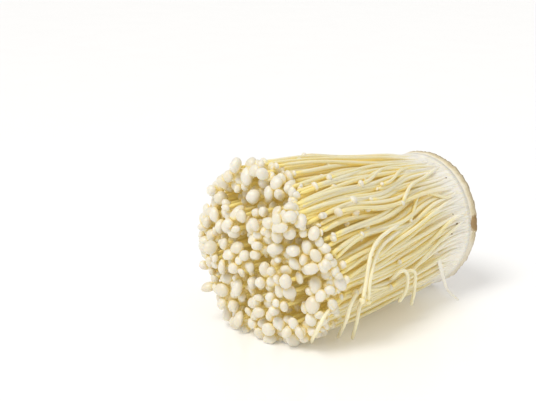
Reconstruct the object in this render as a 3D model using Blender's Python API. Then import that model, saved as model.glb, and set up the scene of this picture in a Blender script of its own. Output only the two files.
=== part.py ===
"""A bunch of enoki mushrooms lying on its side.

Several hundred slender stems leave a round cut foot at the back (+Y), run forward and spread a
little, and end in a domed head of small round caps at the front (-Y). The growth rule below works
out every mushroom's line and cap. The hidden middle of the bunch is a fluted core, and the caps,
the outer stems and the strands that droop out of the bunch stand out of it, fused with it.
"""
import math

import bmesh
import bpy
import numpy as np
from mathutils import Vector

# ---------------------------------------------------------------- driving dimensions, metres
MM = 0.001
CUT_Y = 62 * MM                # back of the bunch: the plane where it was cut from its bottle
FOOT_THICKNESS = 4.5 * MM      # slice of mycelium and growing medium left under the stems
GAP = 0.3 * MM                 # between the foot and the stems
ROOT_Y = CUT_Y - FOOT_THICKNESS - GAP
HEAD_Y = -58 * MM              # where the head starts to round over
FOOT_RADIUS = 33 * MM          # as wide as the mouth of the growing bottle
HEAD_RADIUS = 40 * MM
HEAD_SHIFT = 6 * MM            # the head leans this far to +X
DOME_HEIGHT = 9 * MM           # how far the middle of the head bulges forward
# How far back along the sides the head's caps reach, by angle about the axis: degrees and mm.
SKIRT = ((-180, 9), (-130, 14), (-90, 17), (-50, 13), (-10, 6), (15, 1), (70, 0), (110, 3), (180, 9))
SKIRT_LENGTH = 17 * MM         # the most that it is
LOCK_LENGTH = 12 * MM          # a lock of longer stems reaches this far over the head's +X side
LOCK_TURN = 42                 # its angle about the axis and how far it spreads, degrees
LOCK_SPREAD = 18
DROOP = math.radians(27)       # how far the stems at the sides sink from root to cap
CUT_SLOPE = math.tan(math.radians(5))    # the cut plane leans: its top is farther back
SETTLE = 0.5 * MM              # how much the soft underside is pressed flat by the bunch's weight
STEM_RADIUS = 1.3 * MM
CAP_RADIUS = 3.05 * MM
SEED = 11

FACE_COUNT = 205               # places for caps over the whole head, skirt and all
DEEP_COUNT = 150               # shorter mushrooms, whose small caps lie under those
PIN_COUNT = 64                 # short ones whose pinheads end among the outer stems
PLANE_COUNT = 27               # slices in which the stems are pushed apart

# Partings in the stems: angle where each opens, angle at the head, half-width of the gap, degrees.
PARTINGS = ((38, 20, 7.0), (-22, -34, 3.5), (78, 70, 3.0), (150, 158, 5.0), (208, 200, 3.5))
PARTING_SPREAD = 15            # degrees to either side over which stems give way
PARTING_START = 0.40           # share of the length behind which no parting has opened

# Strands that slipped out of the bunch and droop: routes in mm from a point on the surface, and
# the radius of the cap at the end, 0 where it has broken off.
STRAYS = (
    (((21, 41, 59), (23, 24, 61), (28, 5, 63), (37, -14, 60), (45, -29, 54), (49, -37, 46),
      (50, -40, 36), (49, -40, 28), (46, -41, 24)), 1.7),
    (((29, 37, 49), (32, 22, 51), (37, 5, 51), (42, -13, 49), (47, -28, 45), (51, -37, 41),
      (52, -40, 33), (50, -38, 26)), 1.9),
    (((35, 21, 24), (40, 5, 27), (44, -7, 30), (46, -11, 25), (43, -10, 15)), 0),
    (((34, 27, 24), (38, 15, 25), (41, 6, 24), (41, 4, 17), (36, 7, 8)), 0),
    (((38, -8, 28), (42, -23, 26), (45, -36, 23), (45, -42, 16), (39, -40, 8), (31, -35, 1.2)), 0),
    (((36, -1, 23), (40, -16, 21), (43, -29, 17), (41, -33, 9), (35, -32, 1.2)), 0),
    (((40, -36, 22), (42, -47, 16), (36, -49, 8), (27, -47, 1.2)), 0),
    (((-33, 30, 45), (-34, 10, 42), (-37, -8, 36), (-40, -22, 24), (-41, -28, 12)), 1.8),
)
STRAY_RADIUS = 1.05 * MM

# A cap along its stem's end, in cap radii: place ahead of the cap's middle and width.
LARGE_CAP_RINGS = ((-0.40, 1.0), (0.25, 0.88), (0.82, 0.34))
SMALL_CAP_RINGS = ((-0.35, 1.0), (0.62, 0.62))
LARGE_CAP_RADIUS = 3.6 * MM
# The core: y and depth under the bunch's surface, mm, of its fluted body and of its plain head.
BODY_INSET = ((58.2, 0.1), (44, 0.6), (12, 2.3), (-22, 2.8), (-55, 3.6), (-56, 12))
HEAD_INSET = ((-49, 14), (-51, 4.4), (-56, 5.0), (-59, 9), (-61, 17), (-63, 26), (-64, 36))
FLUTE_COUNT = 34
FLUTE_DEPTH = 0.05             # share of the radius
CREASE_ANGLE = math.radians(35)
NECK_LENGTH = 5.5 * MM         # stem under a cap of the head's front, down into the core
NECK_Y = HEAD_Y - 8 * MM       # caps ahead of this plane have longer necks, which start behind it
NECK_REACH = 0.82              # its root's distance from the middle, as a share of the cap's
OUTER_SHARE = 0.82             # caps farther out than this share of the radius are outer ones
STEM_SHARE = 3                 # one in so many of the outer caps has its whole stem
PIN_SHARE = 13                 # one in so many of the pinheads is made
FOOT_SIDES = 56
CUT_RIDGE = 0.4 * MM           # unevenness of the cut face
CUT_GRAIN = 20 * MM            # and how broad its waves are
FOOT_RINGS = (0.08, 0.16, 0.22, 0.26)    # steps of the rings on the foot's faces, in its radius


# ---------------------------------------------------------------- outer form
def ease(t):
    """A share of the way, 0 to 1, started and ended gently."""
    t = np.clip(t, 0, 1)
    return t * t * (3 - 2 * t)


def along(y):
    """How far a plane is from the cut (0) to the head (1)."""
    return (CUT_Y - y) / (CUT_Y - HEAD_Y)


def bunch_radius(y):
    """Radius of the whole bunch at a plane."""
    t = np.clip(along(y), 0, 1)
    return FOOT_RADIUS + (HEAD_RADIUS - FOOT_RADIUS) * (0.12 * t + 0.88 * ease((t - 0.08) / 0.85))


def bunch_centre(y):
    """Middle of the bunch at a plane, across (x) and up (z): it lies on the floor."""
    return HEAD_SHIFT * ease(along(y)), bunch_radius(y)


def lean(y, z):
    """Where a point lies along the bunch once its back end leans with the cut."""
    return y + CUT_SLOPE * (z - FOOT_RADIUS) * (1 - np.clip(along(y), 0, 1))


# ---------------------------------------------------------------- growth
FACE, DEEP, PIN = 0, 1, 2      # kinds of mushroom: on the head, under it, among the outer stems


def sunflower(count):
    """Evenly spread polar places: area share from 0 to 1 and angle in radians."""
    number = np.arange(count)
    return (number + 0.5) / count, number * math.pi * (3 - math.sqrt(5))


def cap_places(rng):
    """Where each cap sits: angle, radius as a share of the bunch's, y, cap radius, and its kind."""
    share, angle = sunflower(FACE_COUNT)
    front = HEAD_RADIUS ** 2
    reach = share * (front + 2 * HEAD_RADIUS * SKIRT_LENGTH)
    rho = np.sqrt(np.minimum(reach, front)) / HEAD_RADIUS
    back = np.maximum(reach - front, 0) / (2 * HEAD_RADIUS)
    y = HEAD_Y - DOME_HEIGHT * (1 - rho ** 2) + back + rng.uniform(-1.5, 2.5, FACE_COUNT) * MM
    turned = (np.degrees(angle) + 180) % 360 - 180
    lock = np.exp(-((turned - LOCK_TURN) / LOCK_SPREAD) ** 2) * rho ** 2
    y -= LOCK_LENGTH * lock
    size = CAP_RADIUS * rng.uniform(0.74, 1.22, FACE_COUNT)
    face = np.stack([angle, rho * (1 - 0.12 * lock), y, size, np.full(FACE_COUNT, FACE)])
    face = face[:, back <= np.interp(turned, *zip(*SKIRT)) * MM]

    share, angle = sunflower(DEEP_COUNT)
    rho = 0.97 * np.sqrt(share)
    y = HEAD_Y - DOME_HEIGHT * (1 - rho ** 2) + rng.uniform(5, 15, DEEP_COUNT) * MM
    y = y + np.where(rho > 0.85, rng.uniform(8, 26, DEEP_COUNT) * MM, 0)
    size = CAP_RADIUS * rng.uniform(0.45, 0.85, DEEP_COUNT)
    deep = np.stack([angle + 0.9, rho, y, size, np.full(DEEP_COUNT, DEEP)])

    angle = sunflower(PIN_COUNT)[1] + 2.1
    y = HEAD_Y + 5 * MM + rng.beta(1.0, 1.8, PIN_COUNT) * 62 * MM
    size = CAP_RADIUS * rng.uniform(0.35, 0.62, PIN_COUNT)
    pin = np.stack([angle, np.ones(PIN_COUNT), y, size, np.full(PIN_COUNT, PIN)])
    return np.hstack([face, deep, pin])


def parted(angle, rho, t):
    """The angles turned away from each parting, more and more toward the head and the surface."""
    turned = angle.copy()
    opened = ease((t - PARTING_START) / (0.92 - PARTING_START)) * rho ** 3
    for start, end, half_width in PARTINGS:
        line = np.radians(start + (end - start) * t)
        away = (angle - line + math.pi) % (2 * math.pi) - math.pi
        away = away / math.radians(PARTING_SPREAD)
        turned += math.radians(half_width) * opened * 1.65 * away * np.exp(-away ** 2 / 2)
    return turned


def push_apart(points, radii, stiff):
    """Move the centres of discs or balls that overlap apart, each by a share of half the overlap."""
    gap = points[:, None, :] - points[None, :, :]
    distance = np.sqrt((gap ** 2).sum(-1)) + 1e-9
    overlap = np.maximum(radii[:, None] + radii[None, :] - distance, 0)
    np.fill_diagonal(overlap, 0)
    return points + stiff * 0.5 * (gap * (overlap / distance)[..., None]).sum(1)


def settle_caps(places, radii):
    """Push the caps apart as balls, near their places, the lowest a little squashed on the floor."""
    settled = places.copy()
    for _ in range(40):
        settled = push_apart(settled, radii * 1.02, 0.8)
        settled += 0.10 * (places - settled)
        settled[:, 2] = np.maximum(settled[:, 2], 0.8 * radii)
    return settled


def settle_stems(lines, planes, radii, alive):
    """Push the stems apart in every plane, keeping each smooth, inside the bunch, off the floor."""
    wanted = lines.copy()
    for _ in range(24):
        for k in range(1, len(planes)):
            here = alive[:, k]
            if here.sum() < 2:
                continue
            spot = push_apart(lines[here, k], radii[here, k], 0.8)
            offset = spot - bunch_centre(planes[k])
            distance = np.hypot(*offset.T) + 1e-9
            room = bunch_radius(planes[k]) - radii[here, k]
            spot -= offset * (np.maximum(distance - room, 0) / distance)[:, None] * 0.8
            spot[:, 1] = np.maximum(spot[:, 1], radii[here, k])
            lines[here, k] = spot
        lines[:, 1:-1] = 0.5 * lines[:, 1:-1] + 0.25 * (lines[:, 2:] + lines[:, :-2])
        lines += 0.06 * (wanted - lines)
    return lines


def grow():
    """Every mushroom: its line, a list of points from root to cap, cap and stem radius, kind."""
    rng = np.random.default_rng(SEED)
    angle, rho, cap_y, cap_radius, kind = cap_places(rng)
    count = len(angle)
    tip_angle = parted(angle, rho, along(np.maximum(cap_y, HEAD_Y)))
    x, z = bunch_centre(cap_y)
    reach = rho * bunch_radius(cap_y)
    caps = np.stack([x + reach * np.cos(tip_angle), cap_y, z + reach * np.sin(tip_angle)], 1)
    caps = settle_caps(caps, cap_radius)

    rank = np.argsort(np.argsort(rho + rng.normal(0, 0.06, count)))
    root_rho = 0.97 * np.sqrt((rank + 0.5) / count)
    root_angle = angle + DROOP * np.cos(angle) + rng.normal(0, 0.09, count)
    stem_radius = STEM_RADIUS * rng.uniform(0.85, 1.12, count)
    stem_radius *= np.where(cap_radius < 0.65 * CAP_RADIUS, 0.8, 1)
    swing_turn = rng.uniform(0, 2 * math.pi, (2, count))
    swing_size = rng.normal(0, 1.0, (2, count)) * MM

    x, z = bunch_centre(caps[:, 1])
    tip_rho = np.hypot(caps[:, 0] - x, caps[:, 2] - z) / bunch_radius(caps[:, 1])
    tip_angle = np.arctan2(caps[:, 2] - z, caps[:, 0] - x)
    turn = (tip_angle - root_angle + math.pi) % (2 * math.pi) - math.pi
    planes = np.linspace(ROOT_Y, HEAD_Y - DOME_HEIGHT, PLANE_COUNT)
    lines = np.zeros((count, PLANE_COUNT, 2))
    radii = np.zeros((count, PLANE_COUNT))
    for k, y in enumerate(planes):
        way = np.clip((ROOT_Y - y) / (ROOT_Y - caps[:, 1]), 0, 1)
        bend = ease(way)
        here_rho = root_rho + (tip_rho - root_rho) * bend
        here = root_angle + turn * bend
        here += (parted(here, here_rho, along(y)) - here) * (1 - bend)
        here += 0.16 * np.sin(3 * root_angle + 5 * way) * way * (1 - way)
        swing = np.sin(2 * math.pi * 1.3 * way + swing_turn) * swing_size * 4 * way * (1 - way)
        x, z = bunch_centre(y)
        lines[:, k, 0] = x + here_rho * bunch_radius(y) * np.cos(here) + swing[0]
        lines[:, k, 1] = z + here_rho * bunch_radius(y) * np.sin(here) + swing[1]
        radii[:, k] = stem_radius * (1 + 0.25 * np.clip(1 - way * 5, 0, 1))
    alive = planes[None, :] > (caps[:, 1] + 0.5 * cap_radius)[:, None]
    lines = settle_stems(lines, planes, radii, alive)

    mushrooms = []
    for i in range(count):
        line = [(lines[i, k, 0], planes[k], lines[i, k, 1]) for k in np.flatnonzero(alive[i])]
        line.append(caps[i])
        line = [Vector((x, lean(y, z), z)) for x, y, z in line]
        mushrooms.append((line, cap_radius[i], stem_radius[i], kind[i]))
    return mushrooms


# ---------------------------------------------------------------- solids
def paint(name, colour, roughness):
    """A plain material."""
    material = bpy.data.materials.new(name)
    material.use_nodes = True
    shader = material.node_tree.nodes["Principled BSDF"]
    shader.inputs["Base Color"].default_value = (*colour, 1)
    shader.inputs["Roughness"].default_value = roughness
    return material


def finish(thing, material):
    """Give the object its one material and smooth shading with sharp creases."""
    thing.data.materials.clear()
    thing.data.materials.append(material)
    thing.data.shade_smooth()
    thing.data.set_sharp_from_angle(angle=CREASE_ANGLE)


def add_curve(name, points, radii, collection):
    """A POLY curve through the points, with a radius at each of them, its ends filled."""
    curve = bpy.data.curves.new(name, "CURVE")
    curve.dimensions = "3D"
    curve.use_fill_caps = True
    spline = curve.splines.new("POLY")
    spline.points.add(len(points) - 1)
    for knot, place, radius in zip(spline.points, points, radii):
        knot.co = (*place, 1)
        knot.radius = radius
    thing = bpy.data.objects.new(name, curve)
    collection.objects.link(thing)
    return thing


def add_tube(name, points, radii, collection):
    """A closed six-sided tube through the points, as thick at each as its radius there."""
    tube = add_curve(name, points, radii, collection)
    tube.data.bevel_depth = 1
    tube.data.bevel_resolution = 1
    return tube


def inset_line(insets):
    """Points down the middle of the bunch and radii that stay so far under its surface."""
    middle = [bunch_centre(y * MM) for y, _ in insets]
    points = [Vector((x, y * MM, z)) for (y, _), (x, z) in zip(insets, middle)]
    return points, [bunch_radius(y * MM) - inset * MM for y, inset in insets]


def add_core(collection, rng):
    """The hidden middle of the bunch, fluted like the stems that it stands in for."""
    count = 2 * FLUTE_COUNT
    turns = (np.arange(count) + rng.uniform(-0.2, 0.2, count)) * 2 * math.pi / count
    reach = 1 - FLUTE_DEPTH * np.tile((0, 1), FLUTE_COUNT) * rng.uniform(0.6, 1.2, count)
    outline = [Vector((r * math.cos(a), r * math.sin(a), 0)) for a, r in zip(turns, reach)]
    profile = add_curve("flutes", outline, np.ones(len(outline)), collection)
    profile.data.splines[0].use_cyclic_u = True
    body = add_curve("core", *inset_line(BODY_INSET), collection)
    body.data.bevel_mode = "OBJECT"
    body.data.bevel_object = profile
    head = add_tube("core_head", *inset_line(HEAD_INSET), collection)
    head.data.bevel_resolution = 4
    return body, head, profile


def cap_heading(line):
    """Which way a mushroom's cap faces: along its stem's end, turned a little out of the bunch."""
    cap = line[-1]
    x, z = bunch_centre(cap.y)
    out = Vector((cap.x - x, 0, cap.z - z)) / HEAD_RADIUS
    return ((cap - line[-2]).normalized() + 0.5 * out + Vector((0, -0.4, 0))).normalized()


def add_mushroom(name, line, cap_radius, stem_radius, collection):
    """One mushroom: a stem through the line's points and a cap at its end."""
    heading = cap_heading(line)
    points = list(line[:-1])
    radii = [stem_radius] * len(points)
    rings = LARGE_CAP_RINGS if cap_radius > LARGE_CAP_RADIUS else SMALL_CAP_RINGS
    for ahead, width in rings:
        points.append(line[-1] + heading * ahead * cap_radius)
        radii.append(width * cap_radius)
    return add_tube(name, points, radii, collection)


def mesh_from_curve(curve_object, collection):
    """A closed mesh object in place of the curve, its end caps welded on."""
    graph = bpy.context.evaluated_depsgraph_get()
    mesh = bpy.data.meshes.new_from_object(curve_object.evaluated_get(graph))
    shape = bmesh.new()
    shape.from_mesh(mesh)
    bmesh.ops.remove_doubles(shape, verts=shape.verts, dist=0.001 * MM)
    bmesh.ops.recalc_face_normals(shape, faces=shape.faces)
    shape.to_mesh(mesh)
    shape.free()
    solid = bpy.data.objects.new(curve_object.name + "_solid", mesh)
    collection.objects.link(solid)
    return solid


def lean_back(thing, back_y):
    """Trim the object's mesh to a plane at its back and lean it with the cut."""
    for vert in thing.data.vertices:
        vert.co.y = lean(min(vert.co.y, back_y), vert.co.z)


def bake_modifiers(thing):
    """Apply the object's modifiers."""
    bpy.context.view_layer.update()
    graph = bpy.context.evaluated_depsgraph_get()
    mesh = bpy.data.meshes.new_from_object(thing.evaluated_get(graph))
    thing.modifiers.clear()
    thing.data = mesh


def keep_largest_piece(thing):
    """Drop the scraps that a union leaves loose and the hollows that it seals."""
    shape = bmesh.new()
    shape.from_mesh(thing.data)
    pieces = []
    left = set(shape.verts)
    while left:
        front = [left.pop()]
        piece = []
        while front:
            vert = front.pop()
            piece.append(vert)
            near = {edge.other_vert(vert) for edge in vert.link_edges} & left
            left -= near
            front.extend(near)
        pieces.append(piece)
    pieces.sort(key=len)
    scraps = [vert for piece in pieces[:-1] for vert in piece]
    bmesh.ops.delete(shape, geom=scraps, context="VERTS")
    shape.to_mesh(thing.data)
    shape.free()


def press_flat(thing, floor_slab):
    """Cut the underside flat where the weight of the bunch presses it on the floor."""
    cut = thing.modifiers.new("pressed_flat", "BOOLEAN")
    cut.operation = "DIFFERENCE"
    cut.object = floor_slab
    cut.solver = "MANIFOLD"
    bake_modifiers(thing)
    keep_largest_piece(thing)


def add_floor_slab(collection):
    """The cutter that presses the underside flat."""
    depth = 20 * MM
    bpy.ops.mesh.primitive_cube_add(size=1, location=(0, 0, SETTLE - depth / 2))
    slab = bpy.context.object
    slab.name = "floor_slab"
    slab.scale = (0.3, 0.3, depth)
    slab.hide_render = True
    slab.display_type = "WIRE"
    bpy.context.collection.objects.unlink(slab)
    collection.objects.link(slab)
    return slab


# ---------------------------------------------------------------- pieces
def add_bunch(parts, helpers, floor_slab):
    """The core, the caps on the head, the outer stems, the pinheads and the strays, as one solid."""
    rng = np.random.default_rng(SEED)
    core, core_head, profile = add_core(helpers, rng)
    tubes = [core_head]
    for i, (line, cap_radius, stem_radius, kind) in enumerate(grow()):
        cap = line[-1]
        x, z = bunch_centre(cap.y)
        is_outer = math.hypot(cap.x - x, cap.z - z) > OUTER_SHARE * bunch_radius(cap.y)
        if kind == FACE and not (is_outer and i % STEM_SHARE == 0):
            inside = Vector((x, cap.y, z)).lerp(cap, NECK_REACH)
            inside.y = max(cap.y, NECK_Y) + NECK_LENGTH
            line = [inside, cap]
        elif kind == FACE or (kind == PIN and i % PIN_SHARE == 0):
            line = line[2:-1:5] + [cap]
        else:
            continue
        tubes.append(add_mushroom("mushroom_%03d" % i, line, cap_radius, stem_radius, helpers))
    for number, (route, cap_radius) in enumerate(STRAYS):
        line = [Vector(place) * MM for place in route]
        x, z = bunch_centre(line[0].y)
        line.insert(0, line[0].lerp(Vector((x, line[0].y, z)), 0.15) + Vector((0, 1 * MM, 0)))
        name = "stray_%d" % number
        if cap_radius:
            tubes.append(add_mushroom(name, line, cap_radius * MM, STRAY_RADIUS, helpers))
        else:
            tubes.append(add_tube(name, line, [STRAY_RADIUS] * len(line), helpers))
    bpy.context.view_layer.update()
    bunch = mesh_from_curve(core, parts)
    lean_back(bunch, ROOT_Y)
    bunch.name = "mushrooms"
    others = bpy.data.collections.new("grown_on_the_core")
    helpers.children.link(others)
    for tube in tubes:
        mesh_from_curve(tube, others)
    for curve_object in [core, profile] + tubes:
        bpy.data.objects.remove(curve_object)
    union = bunch.modifiers.new("grown_together", "BOOLEAN")
    union.operation = "UNION"
    union.operand_type = "COLLECTION"
    union.collection = others
    union.solver = "MANIFOLD"
    bake_modifiers(bunch)
    for solid in list(others.objects):
        bpy.data.objects.remove(solid)
    bpy.data.collections.remove(others)
    keep_largest_piece(bunch)
    press_flat(bunch, floor_slab)
    finish(bunch, paint("mushroom_cream", (0.84, 0.78, 0.58), 0.45))
    return bunch


def add_foot(parts, floor_slab):
    """The cut foot: a round slice, its rim scalloped by the stems and its cut face uneven."""
    bpy.ops.mesh.primitive_cylinder_add(vertices=FOOT_SIDES, radius=FOOT_RADIUS, depth=FOOT_THICKNESS)
    foot = bpy.context.object
    foot.name = "root_foot"
    bpy.context.collection.objects.unlink(foot)
    parts.objects.link(foot)
    shape = bmesh.new()
    shape.from_mesh(foot.data)
    ends = [face for face in shape.faces if len(face.verts) > 4]
    for step in FOOT_RINGS:
        bmesh.ops.inset_region(shape, faces=ends, thickness=step * FOOT_RADIUS)
    middle = CUT_Y - FOOT_THICKNESS / 2
    for vert in shape.verts:
        x, y, z = vert.co
        turn = math.atan2(y, x)
        ragged = 0.992 + 0.012 * math.sin(9 * turn + 1) + 0.010 * math.sin(23 * turn)
        ridge = CUT_RIDGE * math.sin(5 * x / CUT_GRAIN) * math.cos(4 * y / CUT_GRAIN)
        vert.co = (x * ragged, middle + z + (ridge if z > 0 else 0), y * ragged + FOOT_RADIUS)
    bmesh.ops.reverse_faces(shape, faces=shape.faces)
    shape.to_mesh(foot.data)
    shape.free()
    lean_back(foot, CUT_Y + CUT_RIDGE)
    press_flat(foot, floor_slab)
    finish(foot, paint("mycelium_tan", (0.66, 0.54, 0.36), 0.8))
    return foot


def stand_on_origin(things):
    """Shift the pieces so that the origin is under the middle of the whole, at the floor."""
    corners = [vert.co for thing in things for vert in thing.data.vertices]
    low = Vector([min(corner[axis] for corner in corners) for axis in range(3)])
    high = Vector([max(corner[axis] for corner in corners) for axis in range(3)])
    shift = Vector(((low.x + high.x) / 2, (low.y + high.y) / 2, low.z))
    for thing in things:
        for vert in thing.data.vertices:
            vert.co -= shift
        thing.data.update()


def main():
    for thing in list(bpy.data.objects):
        bpy.data.objects.remove(thing)
    parts = bpy.data.collections.new("enoki_mushroom_bunch")
    helpers = bpy.data.collections.new("cutters")
    for collection in (parts, helpers):
        bpy.context.scene.collection.children.link(collection)
    floor_slab = add_floor_slab(helpers)
    bunch = add_bunch(parts, helpers, floor_slab)
    foot = add_foot(parts, floor_slab)
    bpy.data.objects.remove(floor_slab)
    stand_on_origin([bunch, foot])


main()
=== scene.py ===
"""Looks of a bunch of enoki mushrooms lying on its side.

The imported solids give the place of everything. The rule by which the bunch grows is worked out again
here in finer detail: its caps stand in clumps, its drooping strands have routes of their own, and every
mushroom is a bent copy of one of a few modelled masters.
"""

import math

import bpy
import numpy as np
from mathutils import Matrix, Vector, noise
from mathutils.bvhtree import BVHTree


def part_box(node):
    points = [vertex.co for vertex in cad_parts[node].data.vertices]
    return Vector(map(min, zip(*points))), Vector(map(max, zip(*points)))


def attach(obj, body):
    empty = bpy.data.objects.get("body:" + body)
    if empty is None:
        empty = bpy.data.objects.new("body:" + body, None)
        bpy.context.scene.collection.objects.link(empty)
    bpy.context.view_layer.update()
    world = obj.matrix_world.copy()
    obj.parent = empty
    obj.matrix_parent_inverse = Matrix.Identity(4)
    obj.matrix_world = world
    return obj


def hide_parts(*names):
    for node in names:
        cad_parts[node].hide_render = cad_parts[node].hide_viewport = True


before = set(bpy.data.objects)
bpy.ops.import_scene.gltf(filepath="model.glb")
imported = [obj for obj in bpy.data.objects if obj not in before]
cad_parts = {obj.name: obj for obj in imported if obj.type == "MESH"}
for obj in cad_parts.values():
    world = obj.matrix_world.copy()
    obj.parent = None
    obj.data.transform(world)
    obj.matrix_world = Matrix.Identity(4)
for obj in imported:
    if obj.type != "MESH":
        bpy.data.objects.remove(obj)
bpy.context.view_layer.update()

# -------- how the bunch grows
MM = 0.001
CUT_Y = 62 * MM                # back of the bunch: the plane where it was cut from its bottle
FOOT_THICKNESS = 4.5 * MM
ROOT_Y = CUT_Y - FOOT_THICKNESS - 0.3 * MM
HEAD_Y = -58 * MM              # where the head starts to round over
FOOT_RADIUS = 33 * MM
HEAD_RADIUS = 40 * MM
HEAD_SHIFT = 6 * MM            # the head leans this far to +X
DOME_HEIGHT = 9 * MM           # how far the middle of the head bulges forward
# How far back along the sides the head's caps reach, by angle about the axis: degrees and mm.
SKIRT = ((-180, 9), (-130, 14), (-90, 17), (-50, 13), (-10, 6), (15, 1), (70, 0), (110, 3), (180, 9))
SKIRT_LENGTH = 17 * MM         # the most that it is
LOCK_LENGTH = 12 * MM          # a lock of longer stems reaches this far over the head's +X side
LOCK_TURN = 42                 # its angle about the axis and how far it spreads, degrees
LOCK_SPREAD = 18
CUT_SLOPE = math.tan(math.radians(5))    # the cut plane leans: its top is farther back
SETTLE = 0.5 * MM              # how much the soft underside is pressed flat
STEM_RADIUS = 1.12 * MM
CAP_RADIUS = 2.85 * MM
SEED = 11

FACE_COUNT = 296               # places for caps over the whole head, skirt and all
DEEP_COUNT = 250               # shorter mushrooms, whose small caps lie under those
FACE_SIZES = (0.68, 1.25)      # radii of the caps, as shares of CAP_RADIUS
DEEP_SIZES = (0.50, 0.95)
FACE_SCATTER = (-2.0, 3.5)     # how far a cap is from its place along the bunch, mm
DEEP_BACK = (3.5, 13)          # how far the small caps are behind the others, mm
DEEP_SIDE_BACK = (8, 26)       # and those near the side, farther still
CLUMP_SIZE = 6                 # about how many caps stand in a clump
CLUMP_PULL = 0.34              # how far each is drawn to the middle of its clump, as a share
INNER_DEPTH = 4.5 * MM         # the grown stems stay this deep under the layers of outer stems
DROOP = math.radians(27)       # how far the stems at the sides sink from root to cap
PLANE_COUNT = 27               # slices in which the stems are pushed apart

# Partings in the stems: angle where each opens, angle at the head, half-width of the gap, degrees.
PARTINGS = ((38, 20, 7.0), (-22, -34, 3.5), (78, 70, 3.0), (150, 158, 5.0), (208, 200, 3.5))
PARTING_SPREAD = 15            # degrees to either side over which stems give way
PARTING_START = 0.40           # share of the length behind which no parting has opened
PARTING_FULL = 0.92            # and at which it is fully open
PARTING_PUSH = 1.65            # so that the most a stem turns away is the parting's half-width

# Strands that slipped out of the bunch and droop: routes in mm from a point on the surface, and
# the radius of the cap at the end, 0 where it has broken off.
STRAYS = (
    (((37, -2, 49), (41, -14, 49), (44, -25, 48), (47, -33, 46), (49, -38, 42), (49, -39, 36),
      (49, -40, 31), (49, -42, 25)), 1.5),
    (((37, 0, 46), (41, -12, 46), (44, -22, 45), (46, -29, 43), (49, -35, 40), (50, -38, 35),
      (50, -39, 29), (48, -37, 23)), 1.6),
    (((39, -11, 25), (42, -10, 28), (44, -8, 30), (44, -5, 27), (42, -3, 19), (40, -6, 13)), 0),
    (((36, 2, 23), (40, -1, 27), (43, 2, 27), (42, 3, 22), (41, 4, 16), (37, 7, 8)), 0),
    (((42, -32, 29), (45, -40, 27), (46, -46, 24), (43, -45, 16), (36, -40, 8), (29, -35, 1.0)), 0),
    (((41, -27, 25), (42, -33, 22), (43, -37, 19), (41, -36, 12), (35, -32, 1.0)), 0),
    (((41, -53, 23), (43, -60, 20), (41, -62, 14), (33, -56, 7), (25, -48, 1.0)), 0),
    (((-33, 30, 45), (-34, 10, 42), (-37, -8, 36), (-40, -22, 24), (-41, -28, 12)), 1.8),
)
# A thin strip torn off beside the foot, hanging to the floor: its route and its widths in mm.
TORN_FLAP = ((29, 26, 31), (33, 31, 26), (33, 34, 20), (32, 38, 13), (32, 42, 6), (35, 47, 0.6))
FLAP_WIDTHS = (2.4, 0.6)
FLAP_FLATNESS = 0.2            # its thickness as a share of its width
# Crumbs on the white base: a point that each lies toward, and its size, in mm.
CRUMBS = ((34, 46, 39, 0.5), (35, 41, 35, 0.55), (33, 44, 44, 0.25), (20, 52, 57, 0.4),
          (-8, 48, 65, 0.5), (-30, 50, 38, 0.45), (-24, 52, 17, 0.4), (5, 40, 66, 0.3))
STRAY_RADIUS = 0.95 * MM
STRAY_ROOT_IN = 0.12           # a strand starts this share of the way in to the bunch's middle
STRAY_ROOT_BACK = 4 * MM       # and this far behind the first point of its route


def ease(t):
    """A share of the way, 0 to 1, started and ended gently."""
    t = np.clip(t, 0, 1)
    return t * t * (3 - 2 * t)


def along(y):
    """How far a plane is from the cut (0) to the head (1)."""
    return (CUT_Y - y) / (CUT_Y - HEAD_Y)


def bunch_radius(y):
    """Radius of the whole bunch at a plane."""
    t = np.clip(along(y), 0, 1)
    return FOOT_RADIUS + (HEAD_RADIUS - FOOT_RADIUS) * (0.12 * t + 0.88 * ease((t - 0.08) / 0.85))


def bunch_centre(y):
    """Middle of the bunch at a plane, across (x) and up (z): it lies on the floor."""
    return HEAD_SHIFT * ease(along(y)), bunch_radius(y)


def lean(y, z):
    """Where a point lies along the bunch once its back end leans with the cut."""
    return y + CUT_SLOPE * (z - FOOT_RADIUS) * (1 - np.clip(along(y), 0, 1))


FACE, DEEP = 0, 1              # kinds of mushroom: on the head, and shorter ones under it


def sunflower(count):
    """Evenly spread polar places: area share from 0 to 1 and angle in radians."""
    number = np.arange(count)
    return (number + 0.5) / count, number * math.pi * (3 - math.sqrt(5))


def within_half_turn(angle):
    """The same angle, counted from minus to plus half a turn."""
    return (angle + math.pi) % (2 * math.pi) - math.pi


def turned_degrees(angle):
    """An angle in radians as degrees from -180 to 180, as the tables by angle have it."""
    return (np.degrees(angle) + 180) % 360 - 180


def lock_share(angle):
    """How fully the lock of longer stems is there at an angle, 0 to 1."""
    return np.exp(-((turned_degrees(angle) - LOCK_TURN) / LOCK_SPREAD) ** 2)


def skirt_reach(angle):
    """How far back the head's caps reach at an angle."""
    return np.interp(turned_degrees(angle), *zip(*SKIRT)) * MM


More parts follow.
